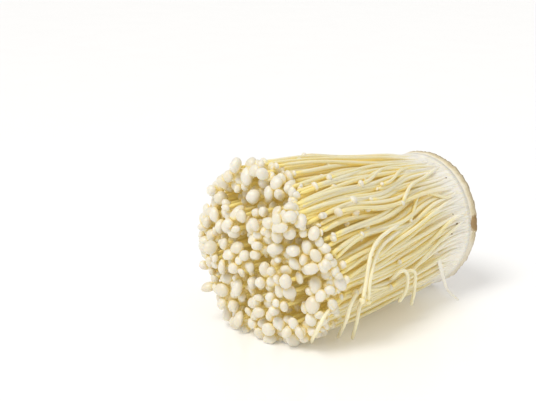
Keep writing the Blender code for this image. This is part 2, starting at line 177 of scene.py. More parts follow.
def cap_places(rng):
    """Where each cap sits: angle, radius as a share of the bunch's, y, cap radius, and its kind."""
    share, angle = sunflower(FACE_COUNT)
    front = HEAD_RADIUS ** 2
    reach = share * (front + 2 * HEAD_RADIUS * SKIRT_LENGTH)
    rho = np.sqrt(np.minimum(reach, front)) / HEAD_RADIUS
    back = np.maximum(reach - front, 0) / (2 * HEAD_RADIUS)
    y = HEAD_Y - DOME_HEIGHT * (1 - rho ** 2) + back + rng.uniform(*FACE_SCATTER, FACE_COUNT) * MM
    lock = lock_share(angle) * rho ** 2
    y -= LOCK_LENGTH * lock
    size = CAP_RADIUS * rng.uniform(*FACE_SIZES, FACE_COUNT)
    face = np.stack([angle, rho * (1 - 0.12 * lock), y, size, np.full(FACE_COUNT, FACE)])
    face = face[:, back <= skirt_reach(angle)]

    share, angle = sunflower(DEEP_COUNT)
    rho = 0.97 * np.sqrt(share)
    y = HEAD_Y - DOME_HEIGHT * (1 - rho ** 2) + rng.uniform(*DEEP_BACK, DEEP_COUNT) * MM
    y = y + np.where(rho > 0.85, rng.uniform(*DEEP_SIDE_BACK, DEEP_COUNT) * MM, 0)
    size = CAP_RADIUS * rng.uniform(*DEEP_SIZES, DEEP_COUNT)
    deep = np.stack([angle + 0.9, rho, y, size, np.full(DEEP_COUNT, DEEP)])
    return np.hstack([face, deep])


def parted(angle, rho, t):
    """The angles turned away from each parting, more and more toward the head and the surface."""
    turned = angle.copy()
    opened = ease((t - PARTING_START) / (PARTING_FULL - PARTING_START)) * rho ** 3
    for start, end, half_width in PARTINGS:
        line = np.radians(start + (end - start) * t)
        away = within_half_turn(angle - line) / math.radians(PARTING_SPREAD)
        turned += math.radians(half_width) * opened * PARTING_PUSH * away * np.exp(-away ** 2 / 2)
    return turned


def gather(places, rng):
    """The caps drawn together into loose clumps, with gaps between the clumps."""
    middles = places[rng.choice(len(places), len(places) // CLUMP_SIZE, replace=False)]
    gap = middles[None] - places[:, None]
    nearest = np.argmin((gap ** 2).sum(-1), axis=1)
    return places + CLUMP_PULL * gap[np.arange(len(places)), nearest]


CAP_ROUNDS = 40                # rounds of pushing apart, for the caps and for the stems
STEM_ROUNDS = 24
PUSH = 0.8                     # share of an overlap that one round takes up
CAP_RETURN = 0.10              # share of the way back to its own place in each round
STEM_RETURN = 0.06


def push_apart(points, radii):
    """Move the centres of discs or balls that overlap apart, each by a share of half the overlap."""
    gap = points[:, None, :] - points[None, :, :]
    distance = np.sqrt((gap ** 2).sum(-1)) + 1e-9
    overlap = np.maximum(radii[:, None] + radii[None, :] - distance, 0)
    np.fill_diagonal(overlap, 0)
    return points + PUSH * 0.5 * (gap * (overlap / distance)[..., None]).sum(1)


def settle_caps(places, radii):
    """Push the caps apart as balls, near their places, the lowest a little squashed on the floor."""
    settled = places.copy()
    for _ in range(CAP_ROUNDS):
        settled = push_apart(settled, radii * 1.02)
        settled += CAP_RETURN * (places - settled)
        settled[:, 2] = np.maximum(settled[:, 2], 0.8 * radii)
    return settled


def shell_share(y):
    """How far the layers of outer stems cover the grown ones: all the way back from the head."""
    return ease((y - HEAD_Y - 4 * MM) / (22 * MM))


def settle_stems(lines, planes, radii, alive):
    """Push the stems apart in every plane, keeping each smooth, inside the bunch, off the floor."""
    wanted = lines.copy()
    for _ in range(STEM_ROUNDS):
        for k in range(1, len(planes)):
            here = alive[:, k]
            if here.sum() < 2:
                continue
            spot = push_apart(lines[here, k], radii[here, k])
            offset = spot - bunch_centre(planes[k])
            distance = np.hypot(*offset.T) + 1e-9
            room = bunch_radius(planes[k]) - radii[here, k] - INNER_DEPTH * shell_share(planes[k])
            spot -= offset * (np.maximum(distance - room, 0) / distance)[:, None] * PUSH
            spot[:, 1] = np.maximum(spot[:, 1], radii[here, k])
            lines[here, k] = spot
        lines[:, 1:-1] = 0.5 * lines[:, 1:-1] + 0.25 * (lines[:, 2:] + lines[:, :-2])
        lines += STEM_RETURN * (wanted - lines)
    return lines


ROOT_FILL = 0.985              # the roots fill this share of the bunch's radius
ROOT_MIXING = 0.06             # how far their order departs from that of the caps
ROOT_SCATTER = 0.09            # radians
STEM_RANGE = (0.85, 1.12)      # radii, as shares of STEM_RADIUS
SMALL_CAP = 0.65               # caps under this share of CAP_RADIUS have slimmer stems
SMALL_STEM = 0.8
SWING = 1.0 * MM               # how far a stem strays sideways
SWING_WAVES = 1.3
ROOT_FLARE = 0.25              # how much more room a stem takes at its root


def grow():
    """Every mushroom: its line, a list of points from root to cap, cap and stem radius, kind."""
    rng = np.random.default_rng(SEED)
    angle, rho, cap_y, cap_radius, kind = cap_places(rng)
    count = len(angle)
    tip_angle = parted(angle, rho, along(np.maximum(cap_y, HEAD_Y)))
    x, z = bunch_centre(cap_y)
    reach = rho * bunch_radius(cap_y)
    caps = np.stack([x + reach * np.cos(tip_angle), cap_y, z + reach * np.sin(tip_angle)], 1)
    caps = settle_caps(gather(caps, rng), cap_radius)

    rank = np.argsort(np.argsort(rho + rng.normal(0, ROOT_MIXING, count)))
    root_rho = ROOT_FILL * np.sqrt((rank + 0.5) / count)
    root_angle = angle + DROOP * np.cos(angle) + rng.normal(0, ROOT_SCATTER, count)
    stem_radius = STEM_RADIUS * rng.uniform(*STEM_RANGE, count)
    stem_radius *= np.where(cap_radius < SMALL_CAP * CAP_RADIUS, SMALL_STEM, 1)
    swing_turn = rng.uniform(0, 2 * math.pi, (2, count))
    swing_size = rng.normal(0, 1.0, (2, count)) * SWING

    x, z = bunch_centre(caps[:, 1])
    tip_rho = np.hypot(caps[:, 0] - x, caps[:, 2] - z) / bunch_radius(caps[:, 1])
    tip_angle = np.arctan2(caps[:, 2] - z, caps[:, 0] - x)
    turn = within_half_turn(tip_angle - root_angle)
    planes = np.linspace(ROOT_Y, HEAD_Y - DOME_HEIGHT, PLANE_COUNT)
    lines = np.zeros((count, PLANE_COUNT, 2))
    radii = np.zeros((count, PLANE_COUNT))
    for k, y in enumerate(planes):
        way = np.clip((ROOT_Y - y) / (ROOT_Y - caps[:, 1]), 0, 1)
        bend = ease(way)
        here_rho = root_rho + (tip_rho - root_rho) * bend
        here = root_angle + turn * bend
        here += (parted(here, here_rho, along(y)) - here) * (1 - bend)
        here += 0.16 * np.sin(3 * root_angle + 5 * way) * way * (1 - way)
        swing = np.sin(2 * math.pi * SWING_WAVES * way + swing_turn)
        swing = swing * swing_size * 4 * way * (1 - way)
        x, z = bunch_centre(y)
        lines[:, k, 0] = x + here_rho * bunch_radius(y) * np.cos(here) + swing[0]
        lines[:, k, 1] = z + here_rho * bunch_radius(y) * np.sin(here) + swing[1]
        radii[:, k] = stem_radius * (1 + ROOT_FLARE * np.clip(1 - way * 5, 0, 1))
    alive = planes[None, :] > (caps[:, 1] + 0.5 * cap_radius)[:, None]
    lines = settle_stems(lines, planes, radii, alive)

    mushrooms = []
    for i in range(count):
        line = [(lines[i, k, 0], planes[k], lines[i, k, 1]) for k in np.flatnonzero(alive[i])]
        line.append(caps[i])
        line = [Vector((x, lean(y, z), z)) for x, y, z in line]
        mushrooms.append((line, cap_radius[i], stem_radius[i], kind[i]))
    return mushrooms


def growth_place():
    """Where the growth rule's own origin lies in the frame, from the foot's box."""
    low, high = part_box("root_foot")
    return Vector(((low.x + high.x) / 2, high.y - CUT_Y - CUT_SLOPE * FOOT_RADIUS, -SETTLE))


# -------- masters, modelled once each
def select_nothing():
    """Leave edit mode with nothing selected."""
    if bpy.context.mode != "OBJECT":
        bpy.ops.object.mode_set(mode="OBJECT")
    bpy.ops.object.select_all(action="DESELECT")


def select_only(*things):
    """Select just these objects, the first of them active."""
    select_nothing()
    for thing in things:
        thing.select_set(True)
    bpy.context.view_layer.objects.active = things[0]


def face_outward(thing):
    """Turn all of an object's faces to point outwards."""
    select_only(thing)
    bpy.ops.object.mode_set(mode="EDIT")
    bpy.ops.mesh.select_all(action="SELECT")
    bpy.ops.mesh.normals_make_consistent(inside=False)
    bpy.ops.object.mode_set(mode="OBJECT")


def discard(things):
    """Take away masters that have been copied."""
    for thing in things:
        bpy.data.objects.remove(thing)


def add_object(name, data):
    """A new object around a mesh, a lamp or a camera."""
    thing = bpy.data.objects.new(name, data)
    bpy.context.scene.collection.objects.link(thing)
    return thing


def model_round(name, rings, sides):
    """A round closed shape: a filled circle, extruded and resized to each ring (height, width)."""
    select_nothing()
    height, width = rings[0]
    bpy.ops.mesh.primitive_circle_add(
        vertices=sides, radius=width, fill_type="NGON", location=(0, 0, height))
    shape = bpy.context.object
    shape.name = name
    bpy.ops.object.transform_apply(location=True)
    bpy.ops.object.mode_set(mode="EDIT")
    bpy.ops.mesh.select_all(action="SELECT")
    for next_height, next_width in rings[1:]:
        rise = (0, 0, next_height - height)
        bpy.ops.mesh.extrude_region_move(TRANSFORM_OT_translate={"value": rise})
        grow_by = next_width / width
        bpy.ops.transform.resize(value=(grow_by, grow_by, 1), center_override=(0, 0, next_height))
        height, width = next_height, next_width
    face_outward(shape)
    return shape


# Cap masters in cap radii: rings of height above the stem's end and width.
CAP_SHAPES = {
    "button": ((0.02, 0.55), (0.06, 0.92), (0.42, 1.18), (0.86, 1.00), (1.16, 0.58), (1.24, 0.26)),
    "dome": ((0.00, 0.70), (-0.10, 1.08), (0.22, 1.22), (0.60, 1.00), (0.84, 0.56), (0.90, 0.26)),
    "bell": ((0.02, 0.50), (0.10, 0.84), (0.62, 1.12), (1.14, 0.94), (1.46, 0.54), (1.55, 0.24)),
    "bean": ((-0.2, 0.52), (0.12, 0.86), (0.54, 1.00), (0.92, 0.90), (1.34, 0.84), (1.58, 0.36)),
}
# How likely each shape is on the head, under it and on the outer stems.
FACE_CHANCES = (0.38, 0.22, 0.22, 0.18)
DEEP_CHANCES = (0.55, 0.0, 0.3, 0.15)
LAYER_CHANCES = (0.55, 0.2, 0.15, 0.1)
CAP_SIDES = 8
STEM_SIDES = 6
STEM_STEPS = 12


def model_stem(steps):
    """A straight stem one unit long and one in radius, to be bent in this many steps."""
    return model_round("stem_master", [(step / steps, 1) for step in range(steps + 1)], STEM_SIDES)


def model_caps():
    """One cap of every shape."""
    return [model_round(kind + "_master", rings, CAP_SIDES) for kind, rings in CAP_SHAPES.items()]


def vertex_places(thing):
    """The object's vertices as an array of points."""
    places = np.zeros(len(thing.data.vertices) * 3)
    thing.data.vertices.foreach_get("co", places)
    return places.reshape(-1, 3)


def store(mesh, name, values):
    """Keep a value at every point of a mesh, for its finish to read."""
    attribute = mesh.attributes.new(name, "FLOAT", "POINT")
    values = np.broadcast_to(values, len(mesh.vertices)).astype(np.float32)
    attribute.data.foreach_set("value", values)


def copy_master(master, places, name, **values):
    """A copy with its own mesh, bent to places on or above the floor, and with point values."""
    mesh = master.data.copy()
    places[:, 2] = np.maximum(places[:, 2], 0)
    mesh.vertices.foreach_set("co", places.astype(np.float32).ravel())
    for value_name, value in values.items():
        store(mesh, value_name, value)
    return add_object(name, mesh)


def join(things, name):
    """One object out of many."""
    select_only(*things)
    bpy.ops.object.join()
    joined = bpy.context.object
    joined.name = name
    return joined


# -------- bending copies into place
def smooth_line(points, count):
    """Evenly spaced points on the smooth curve through the given ones."""
    points = np.array([tuple(point) for point in points])
    padded = np.vstack([2 * points[0] - points[1], points, 2 * points[-1] - points[-2]])
    t = np.linspace(0, len(points) - 1, 6 * len(points))
    k = np.minimum(t.astype(int), len(points) - 2)
    f = (t - k)[:, None]
    a, b, c, d = padded[k], padded[k + 1], padded[k + 2], padded[k + 3]
    curve = b + 0.5 * f * (c - a + f * (2 * a - 5 * b + 4 * c - d + f * (3 * b - a - 3 * c + d)))
    steps = np.linalg.norm(np.diff(curve, axis=0), axis=1)
    reached = np.concatenate([[0], np.cumsum(steps)])
    even = np.linspace(0, reached[-1], count)
    return np.stack([np.interp(even, reached, curve[:, axis]) for axis in range(3)], 1)


def frames_along(line):
    """Two unit vectors across the line at each of its points."""
    ahead = np.gradient(line, axis=0)
    ahead /= np.linalg.norm(ahead, axis=1)[:, None]
    side = np.cross(ahead, (1, 0, 0))
    side /= np.linalg.norm(side, axis=1)[:, None]
    return side, np.cross(ahead, side)


def bend_stem(places, line, widths):
    """Places of a straight unit stem laid along the line, as wide at each point as its width."""
    side, other = frames_along(line)
    at = places[:, 2] * (len(line) - 1)
    k = np.rint(at).astype(int)
    across = places[:, 0:1] * side[k] + places[:, 1:2] * other[k]
    return line[k] + across * widths[k][:, None]


CAP_SQUASH = (0.87, 1.18)      # how far a cap is out of round
CAP_STRETCH = (0.85, 1.18)     # and how tall it is
CAP_TILT = 0.16
CAP_LUMPS = 0.065              # how uneven its surface is
HEADING_SCATTER = 0.24         # how far the caps turn from the way their stems point
CAP_SEAT = 0.5                 # a cap's foot is this far behind its middle, in cap radii
STEM_INTO_CAP = 0.3            # and the stem runs this far into it


def seat_cap(places, foot, heading, size, rng):
    """Places of a unit cap set on its stem's end, turned at random and a little out of round."""
    foot, heading = np.array(foot), np.array(heading)
    side = np.cross(heading, (1, 0, 0.2))
    side /= np.linalg.norm(side)
    other = np.cross(heading, side)
    turn = rng.uniform(0, 2 * math.pi)
    x = places[:, 0] * math.cos(turn) - places[:, 1] * math.sin(turn)
    y = places[:, 0] * math.sin(turn) + places[:, 1] * math.cos(turn)
    squash = rng.uniform(*CAP_SQUASH)
    tilt = rng.normal(0, CAP_TILT, 2)
    z = places[:, 2] * rng.uniform(*CAP_STRETCH) + tilt[0] * x + tilt[1] * y
    lump = 1 + rng.normal(0, CAP_LUMPS, len(places))[:, None]
    local = np.stack([x * squash, y / squash, z], 1) * size * lump
    return foot + local[:, :1] * side + local[:, 1:2] * other + local[:, 2:] * heading


def cap_heading(line):
    """Which way a mushroom's cap faces: along its stem's end, turned a little out of the bunch."""
    cap = line[-1]
    x, z = bunch_centre(cap.y)
    out = Vector((cap.x - x, 0, cap.z - z)) / HEAD_RADIUS
    return ((cap - line[-2]).normalized() + 0.5 * out + Vector((0, -0.4, 0))).normalized()


def stem_widths(count, radius, rng):
    """Widths along a stem: thin at the root, stoutest midway, never quite even."""
    way = np.linspace(0, 1, count)
    return radius * 1.12 * (0.66 + 0.40 * ease(way * 2.6) - 0.12 * way) * rng.normal(1, 0.03, count)


def build_mushrooms(place):
    """All the mushrooms: the stems and the caps, each joined into a few pieces."""
    rng = np.random.default_rng(SEED + 1)
    stem_master = model_stem(STEM_STEPS)
    cap_masters = model_caps()
    stem_places = vertex_places(stem_master)
    groups = {"head_stems": [], "under_stems": [], "head_caps": [], "under_caps": []}
    for line, cap_radius, stem_radius, kind in grow():
        tone = rng.uniform(0, 1)
        heading = (cap_heading(line) + Vector(rng.normal(0, HEADING_SCATTER, 3))).normalized()
        cap_foot = line[-1] - heading * CAP_SEAT * cap_radius
        stem_end = cap_foot + heading * STEM_INTO_CAP * cap_radius
        route = smooth_line(line[:-1] + [stem_end], STEM_STEPS + 1) + np.array(place)
        widths = stem_widths(STEM_STEPS + 1, stem_radius, rng)
        bent = bend_stem(stem_places, route, widths)
        way = stem_places[:, 2]
        stem = copy_master(stem_master, bent, "stem", tone=tone, way=way)
        where, chances = ("head", FACE_CHANCES) if kind == FACE else ("under", DEEP_CHANCES)
        groups[where + "_stems"].append(stem)
        master = cap_masters[rng.choice(len(cap_masters), p=chances)]
        seated = seat_cap(vertex_places(master), cap_foot + place, heading, cap_radius, rng)
        cap = copy_master(master, seated, "cap", tone=tone, way=vertex_places(master)[:, 2])
        groups[where + "_caps"].append(cap)
    discard([stem_master, *cap_masters])
    return {name: join(things, name) for name, things in groups.items()}


def build_strays(place):
    """The strands that droop out of the bunch, some with a small cap and some broken off."""
    rng = np.random.default_rng(SEED + 2)
    steps = 2 * STEM_STEPS
    master = model_stem(steps)
    cap_master = model_round("stray_cap_master", CAP_SHAPES["bell"], CAP_SIDES)
    places = vertex_places(master)
    pieces = []
    for route, cap_radius in STRAYS:
        line = [Vector(point) * MM for point in route]
        x, z = bunch_centre(line[0].y)
        inward = line[0].lerp(Vector((x, line[0].y, z)), STRAY_ROOT_IN)
        line.insert(0, inward + Vector((0, STRAY_ROOT_BACK, 0)))
        curve = smooth_line(line, steps + 1) + np.array(place)
        for _ in range(2):
            curve[1:-1] = 0.5 * curve[1:-1] + 0.25 * (curve[2:] + curve[:-2])
        widths = stem_widths(steps + 1, STRAY_RADIUS, rng)
        if not cap_radius:
            widths[-3:] *= (1.0, 1.05, 0.85)
        tone = rng.uniform(0.5, 1)
        pieces.append(copy_master(master, bend_stem(places, curve, widths), "stray",
                                  tone=tone, way=0.24 + 0.06 * places[:, 2]))
        if cap_radius:
            heading = Vector(curve[-1] - curve[-2]).normalized()
            foot = curve[-1] - np.array(heading) * 0.5 * MM
            seated = seat_cap(vertex_places(cap_master), foot, heading, cap_radius * MM, rng)
            pieces.append(copy_master(cap_master, seated, "stray_cap", tone=tone, way=1))
    curve = smooth_line([Vector(point) * MM for point in TORN_FLAP], steps + 1) + np.array(place)
    widths = np.linspace(*FLAP_WIDTHS, steps + 1) * MM * rng.normal(1, 0.05, steps + 1)
    flap = bend_stem(places * (1, FLAP_FLATNESS, 1), curve, widths)
    pieces.append(copy_master(master, flap, "torn_flap", tone=1, way=0.1))
    discard([master, cap_master])
    return join(pieces, "stray_strands")


def build_crumbs(place):
    """Crumbs of what the bunch grew on, stuck to its white base."""
    rng = np.random.default_rng(SEED + 7)
    select_nothing()
    bpy.ops.mesh.primitive_ico_sphere_add(subdivisions=2, radius=1)
    master = bpy.context.object
    round_places = vertex_places(master)
    crumbs = []
    for x, y, z, size in CRUMBS:
        middle_x, middle_z = bunch_centre(y * MM)
        out = Vector((x * MM - middle_x, 0, z * MM - middle_z)).normalized()
        spot = Vector((middle_x, y * MM, middle_z)) + out * (bunch_radius(y * MM) - 0.1 * MM) + place
        shape = round_places * rng.uniform(0.6, 1.3, 3) * rng.normal(1, 0.12, (len(round_places), 1))
        crumbs.append(copy_master(master, np.array(spot) + shape * size * MM, "crumb"))
    discard([master])
    return join(crumbs, "crumbs")


# -------- core and foot
FOOT_RINGS = 12
FOOT_LAP = 1.2 * MM            # how far the foot's pale front lip laps over the roots
# How dry and brown the foot's rim is, by angle about the axis: degrees and share.
DRY_RIM = ((-180, 0.7), (-140, 1), (-100, 0.5), (-60, 0.15), (-14, 0.1), (-6, 0.75), (30, 0.6), (45, 1),
           (80, 1), (110, 0.7), (150, 0.3), (180, 0.7))
FLUTE_COUNT = 150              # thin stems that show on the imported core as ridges
FLUTE_POINTS = 3               # points across each ridge
CORE_STEPS = 34
# How deep the core lies under the surface: place along the bunch toward the cut, and depth, mm.
CORE_INSET = ((58, 0.25), (52, 0.4), (46, 0.8), (40, 1.5), (32, 2.5), (10, 4.0), (-20, 4.6),
              (-44, 5.5), (-60, 8))
CORE_END = -41 * MM            # where the core starts to round over under the caps
CORE_DOME = 9 * MM             # how far it bulges beyond that, in rings at these angles
CORE_DOME_RINGS = (20, 40, 58, 74, 85)
RIDGE_HEIGHT = 0.36            # mm
PARTING_DEPTH = 7              # how deep the widest parting goes into the core, mm
WIDEST_PARTING = 7             # its half-width, degrees


def parting_depth(angle, t):
    """How deep each parting is open at these angles, 0 to 1, at one share of the length."""
    depth = np.zeros_like(angle)
    for start, end, half_width in PARTINGS:
        away = within_half_turn(angle - math.radians(start + (end - start) * t))
        depth += half_width / WIDEST_PARTING * np.exp(-(away / math.radians(1.3 * half_width)) ** 2)
    return depth * ease((t - PARTING_START) / 0.4)


def build_core(place):
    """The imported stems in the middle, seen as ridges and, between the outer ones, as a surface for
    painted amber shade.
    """
    sides = FLUTE_COUNT * FLUTE_POINTS
    body = np.linspace(ROOT_Y, CORE_END, CORE_STEPS)
    planes = [(y, 1.0) for y in body]
    planes += [(CORE_END - CORE_DOME * math.sin(a), math.cos(a)) for a in np.radians(CORE_DOME_RINGS)]
    rings = [(-y, bunch_radius(y) * share) for y, share in planes]
    core = model_round("packed_stems", rings, sides)
    places = vertex_places(core).reshape(len(rings), sides, 3)
    depths, insets = zip(*CORE_INSET)
    for k, (y, share) in enumerate(planes):
        t = along(y)
        angle = np.arctan2(places[k, :, 1], places[k, :, 0])
        turned = angle + DROOP * np.cos(angle) * (1 - ease(t))
        ridge = np.abs(np.sin(0.5 * FLUTE_COUNT * angle)) * RIDGE_HEIGHT - RIDGE_HEIGHT / 2
        sway = np.array([noise.noise(Vector((5 * math.cos(a), 5 * math.sin(a), 12 * t))) for a in angle])
        inset = np.interp(-y / MM, [-depth for depth in depths], insets)
        inset = inset * (1 + 0.35 * sway) + PARTING_DEPTH * parting_depth(turned, t) - ridge
        x, z = bunch_centre(y)
        radius = (bunch_radius(y) - inset * MM) * share
        spot_x, spot_z = x + radius * np.cos(turned), z + radius * np.sin(turned)
        spot_z = np.maximum(spot_z, SETTLE)
        places[k] = np.stack([spot_x, [lean(y, spot) for spot in spot_z], spot_z], 1) + np.array(place)
    core.data.vertices.foreach_set("co", places.astype(np.float32).ravel())
    face_outward(core)
    return core


def surface_line(tip, end_y, root_depth, depth, drift, bow, phase):
    """A line from root to end, at depths in mm under the surface, sinking with the droop."""
    way = np.linspace(0, 1, 10)
    y = ROOT_Y + (end_y - ROOT_Y) * way
    t = along(y)
    angle = tip + DROOP * math.cos(tip) * (1 - ease(t))
    angle = angle + np.radians(drift * (way - 0.5) + 4 * bow * np.sin(5 * way + phase) * way * (1 - way))
    flow = [noise.noise(Vector((2 * math.cos(a), 2 * math.sin(a), 3 * share)))
            for a, share in zip(angle, t)]
    angle = parted(angle + np.radians(7) * np.array(flow) * way, 1.0, t)
    deep = depth + 0.45 * np.sin(7 * way + 2 * phase)
    deep = root_depth + (deep - root_depth) * ease(way * 4)
    x, z = bunch_centre(y)
    ahead = np.maximum(HEAD_Y - y, 0)
    reach = bunch_radius(y) - deep * MM - 0.45 * ahead
    x, z = x + reach * np.cos(angle), z + reach * np.sin(angle)
    return [Vector(spot) for spot in zip(x, lean(y, z), np.maximum(z, STRAY_RADIUS + SETTLE))]


# Layers of outer stems: name, how many, depth under the surface at the root and beyond it in mm,
# drift and bow in degrees, stem radius in mm, and the shares that end in a pinhead, in a cap at the
# rim, and under the caps.
LAYERS = (
    ("outer_stems", 126, 1.0, 1.15, 2.8, 2.6, 1.12, (0.24, 0.40, 0.36)),
    ("second_stems", 100, 1.6, 3.2, 3.0, 3.0, 1.2, (0.05, 0.35, 0.60)),
    ("over_strands", 34, 1.6, -0.4, 9.0, 4.0, 0.95, (0.72, 0.13, 0.15)),
)


def build_layer(place, name, count, root_depth, depth, drift, bow, radius, shares, seed):
    """One layer of stems on the bunch, evenly spread round it; their caps are a piece of their own."""
    rng = np.random.default_rng(seed)
    master = model_stem(STEM_STEPS)
    cap_masters = model_caps()
    places = vertex_places(master)
    stems, caps = [], []
    for number in range(count):
        tip = 2 * math.pi * (number + rng.uniform(-0.3, 0.3)) / count
        ending = rng.choice(3, p=shares)
        behind = rng.uniform() ** 1.6
        end_y = (HEAD_Y + (6 + 58 * behind) * MM,
                 HEAD_Y + skirt_reach(tip) * rng.uniform(0.1, 1.0) + rng.uniform(-4, 3) * MM,
                 HEAD_Y + rng.uniform(2, 9) * MM)[ending]
        size = (rng.uniform(2.0, 2.6) - 1.2 * behind ** 0.5, rng.uniform(1.8, 3.0),
                rng.uniform(1.2, 2.0))[ending] * MM
        end_y -= 0.9 * LOCK_LENGTH * lock_share(tip) * (ending > 0)
        line = surface_line(tip, end_y, root_depth, depth + rng.normal(0, 0.35),
                            rng.normal(0, drift), rng.normal(0, bow), rng.uniform(0, 6))
        route = smooth_line(line, STEM_STEPS + 1) + np.array(place)
        widths = stem_widths(STEM_STEPS + 1, radius * MM * rng.uniform(0.85, 1.1), rng)
        tone = rng.uniform(0.1, 1)
        stems.append(copy_master(
            master, bend_stem(places, route, widths), "stem", tone=tone, way=places[:, 2]))
        heading = Vector(route[-1] - route[-2]).normalized()
        foot = route[-1] - np.array(heading) * 0.4 * MM
        cap_master = cap_masters[rng.choice(len(cap_masters), p=LAYER_CHANCES)]
        unseated = vertex_places(cap_master)
        seated = seat_cap(unseated, foot, heading, size, rng)
        caps.append(copy_master(cap_master, seated, "cap", tone=tone, way=unseated[:, 2]))
    discard([master, *cap_masters])
    return {name: join(stems, name), name + "_caps": join(caps, name + "_caps")}


# Layers of noise on the foot's rim and faces: scale to the mm, slice and amount.
RIM_ROUGHNESS = ((0.16, 3, 0.6), (0.6, 9, 0.5))
FACE_ROUGHNESS = ((0.35, 21, 0.5), (1.1, 30, 0.35))


def rough(spot, layers):
    """How rough a surface is at a point in mm."""
    return sum(noise.noise(Vector((spot.x * scale, spot.y * scale, level))) * amount
               for scale, level, amount in layers)


def model_slice():
    """A flat round slice, its faces divided by rings."""
    select_nothing()
    bpy.ops.mesh.primitive_cylinder_add(
        vertices=120, radius=FOOT_RADIUS, depth=FOOT_THICKNESS, end_fill_type="NGON")
    foot = bpy.context.object
    foot.name = "cut_foot"
    bpy.ops.object.mode_set(mode="EDIT")
    bpy.ops.mesh.select_mode(type="FACE")
    bpy.ops.mesh.select_all(action="DESELECT")
    bpy.ops.object.mode_set(mode="OBJECT")
    for face in foot.data.polygons:
        face.select = abs(face.normal.z) > 0.9
    bpy.ops.object.mode_set(mode="EDIT")
    for _ in range(FOOT_RINGS - 1):
        bpy.ops.mesh.inset(thickness=FOOT_RADIUS / FOOT_RINGS)
    bpy.ops.mesh.poke()
    bpy.ops.mesh.select_all(action="SELECT")
    bpy.ops.mesh.subdivide(number_cuts=1)
    bpy.ops.object.mode_set(mode="OBJECT")
    return foot


def build_foot(place):
    """The cut foot: a thin slice, ragged at its rim and grainy on its cut face."""
    foot = model_slice()
    thickness = FOOT_THICKNESS + FOOT_LAP
    ways, shares, drynesses = [], [], []
    for vert in foot.data.vertices:
        across = Vector((vert.co.x, vert.co.y, 0))
        share = across.length / FOOT_RADIUS
        way = vert.co.z / FOOT_THICKNESS + 0.5
        ways.append(way)
        shares.append(share)
        turned = math.degrees(math.atan2(across.y, across.x))
        drynesses.append(np.interp(turned, *zip(*DRY_RIM)))
        back = vert.co.z > 0
        spot = across / MM
        rag = rough(spot, RIM_ROUGHNESS)
        rag += noise.noise(Vector((spot.x * 1.6, spot.y * 1.6, vert.co.z / MM))) * 0.25
        grain = rough(spot, FACE_ROUGHNESS)
        swell = 1 + 0.034 * rag * way * share ** 6 - 0.012 * share ** 6 * (way < 0.2)
        x = across.x * swell
        z = across.y * swell + FOOT_RADIUS
        y = CUT_Y - thickness * (1 - way)
        y += (0.5 if back else 0.8) * MM * (grain - 0.35) * (1 if back else share ** 8)
        vert.co = Vector((x, lean(y, z), max(z, SETTLE))) + place
    for name, values in (("way", ways), ("out", shares), ("dry", drynesses)):
        store(foot.data, name, values)
    face_outward(foot)
    return foot


# -------- how hemmed in each point is: an ambient occlusion, painted into the flesh as shade and glow
OCCLUSION_REACH = 8 * MM         # neighbours farther off than this don't count
RAY_COUNT = 22                 # ways to look from every point
RAY_LIFT = 0.12                # each look starts this far off the surface, mm
LEAST_FACING = 0.15            # looks flatter along the surface than this are left out
FAR_LOSS = 0.6                 # how much less a neighbour counts at the end of the reach


def store_occlusion(pieces):
    """Store at every point how hemmed in it is by its neighbours, from 0 open to 1 buried: an ambient
    occlusion that the finishes paint in as shade and glow.
    """
    places, normals, faces, first = [], [], [], 0
    for piece in pieces:
        mesh = piece.data
        places += [vert.co.copy() for vert in mesh.vertices]
        normals += [vert.normal.copy() for vert in mesh.vertices]
        faces += [[first + index for index in face.vertices] for face in mesh.polygons]
        first += len(mesh.vertices)
    tree = BVHTree.FromPolygons(places, faces)
    share, angle = sunflower(RAY_COUNT)
    rays = [Vector((math.sqrt(1 - (1 - 2 * s) ** 2) * math.cos(a),
                    math.sqrt(1 - (1 - 2 * s) ** 2) * math.sin(a), 1 - 2 * s))
            for s, a in zip(share, angle)]
    values = []
    for spot, normal in zip(places, normals):
        start = spot + normal * RAY_LIFT * MM
        met, most = 0, 0
        for ray in rays:
            facing = ray.dot(normal)
            if facing < LEAST_FACING:
                continue
            most += facing
            distance = tree.ray_cast(start, ray, OCCLUSION_REACH)[3]
            if distance is not None:
                met += facing * (1 - FAR_LOSS * distance / OCCLUSION_REACH)
        values.append(met / most if most else 1)
    first = 0
    for piece in pieces:
        count = len(piece.data.vertices)
        store(piece.data, "occlusion", values[first:first + count])
        first += count


# -------- finishes
class Shade:
    """A number on its way through a material: sums on it add the Math nodes that work them out."""

    def __init__(self, finish, socket):
        self.finish = finish
        self.socket = socket

    def math(self, operation, *others):
        return self.finish.node("ShaderNodeMath", {"operation": operation},
                                {0: self, **{i + 1: other for i, other in enumerate(others)}})

    def __add__(self, other):
        return self.math("ADD", other)

    def __sub__(self, other):
        return self.math("SUBTRACT", other)

    def __rsub__(self, other):
        return self.finish.node("ShaderNodeMath", {"operation": "SUBTRACT"}, {0: other, 1: self})

    def __mul__(self, other):
        return self.math("MULTIPLY", other)

    __radd__ = __add__
    __rmul__ = __mul__

    def clamped(self):
        return self.finish.node("ShaderNodeClamp", {}, {0: self})

    def between(self, low, high):
        """0 below low, 1 above high, eased from one to the other."""
        return self.finish.node("ShaderNodeMapRange", {"interpolation_type": "SMOOTHSTEP"},
                                {0: self, 1: low, 2: high, 3: 0.0, 4: 1.0})


# Colours of painted glow: golden emission in the hemmed-in gaps, and a pale one at the white root.
GOLDEN_LIGHT = (1.0, 0.86, 0.32)
ROOT_LIGHT = (0.95, 0.90, 0.78)


